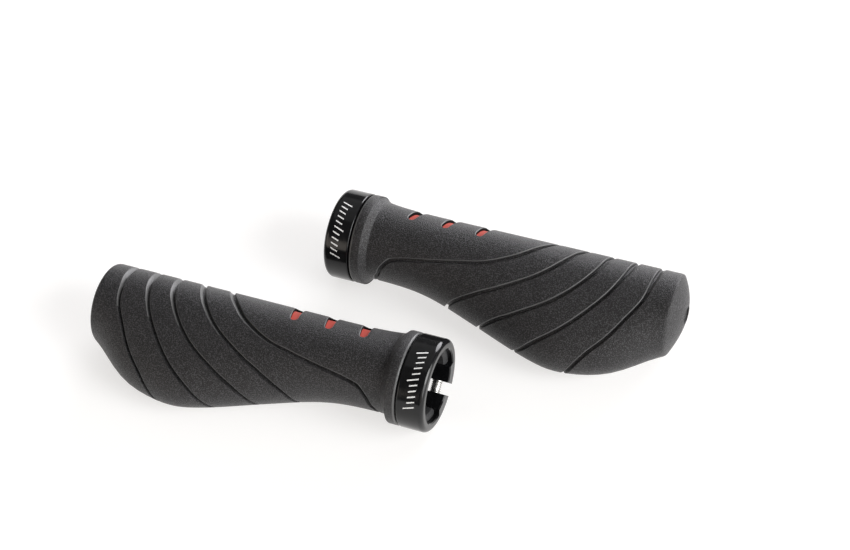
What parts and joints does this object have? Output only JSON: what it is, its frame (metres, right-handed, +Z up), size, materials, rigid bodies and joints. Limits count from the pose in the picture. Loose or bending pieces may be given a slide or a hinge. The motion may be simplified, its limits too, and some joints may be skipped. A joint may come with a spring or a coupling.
{
  "type": "bicycle handlebar grip pair",
  "caption": "Left and right ergonomic locking handlebar grips: rubber palm-wing covers with grooves and red-backed slots, closed outer ends and black clamp rings with cross screws.",
  "frame": {"origin": "on the floor, under the centre of the pair's bounding box", "axes": "+X along both bars, from the left grip's closed end to its clamp ring; +Y from the palm wings to the far side; +Z up from the floor the grips lie on"},
  "size_m": [0.212, 0.1058, 0.0346],
  "materials": {
    "rubber": "fine matte grain",
    "core_plastic": "moulded, slightly scuffed",
    "red_plastic": "satin moulded",
    "ring_black": "gloss black anodised",
    "screw_steel": "zinc plated"
  },
  "bodies": {
    "grips": {"left_grip_cover": "rubber", "left_core": "core_plastic", "left_red_strip": "red_plastic", "right_grip_cover": "rubber", "right_core": "core_plastic", "right_red_strip": "red_plastic"},
    "left_ring": {"left_clamp_ring": "ring_black"},
    "left_screw": {"left_clamp_screw": "screw_steel"},
    "right_ring": {"right_clamp_ring": "ring_black"},
    "right_screw": {"right_clamp_screw": "screw_steel"}
  },
  "joints": [
    {"name": "left_ring_slide", "type": "slide", "parent": "grips", "child": "left_ring", "axis": [1, 0, 0], "range_m": [0, 0.012]},
    {"name": "right_ring_slide", "type": "slide", "parent": "grips", "child": "right_ring", "axis": [-1, 0, 0], "range_m": [0, 0.012]},
    {"name": "left_screw_turn", "type": "hinge", "parent": "left_ring", "child": "left_screw", "pos_m": [0.02615, -0.01389, 0.00551], "axis": [0, 0.848, 0.5299], "range_deg": [0, 540]},
    {"name": "right_screw_turn", "type": "hinge", "parent": "right_ring", "child": "right_screw", "pos_m": [-0.02615, 0.04301, 0.00551], "axis": [0, 0.848, 0.5299], "range_deg": [0, 540]}
  ]
}
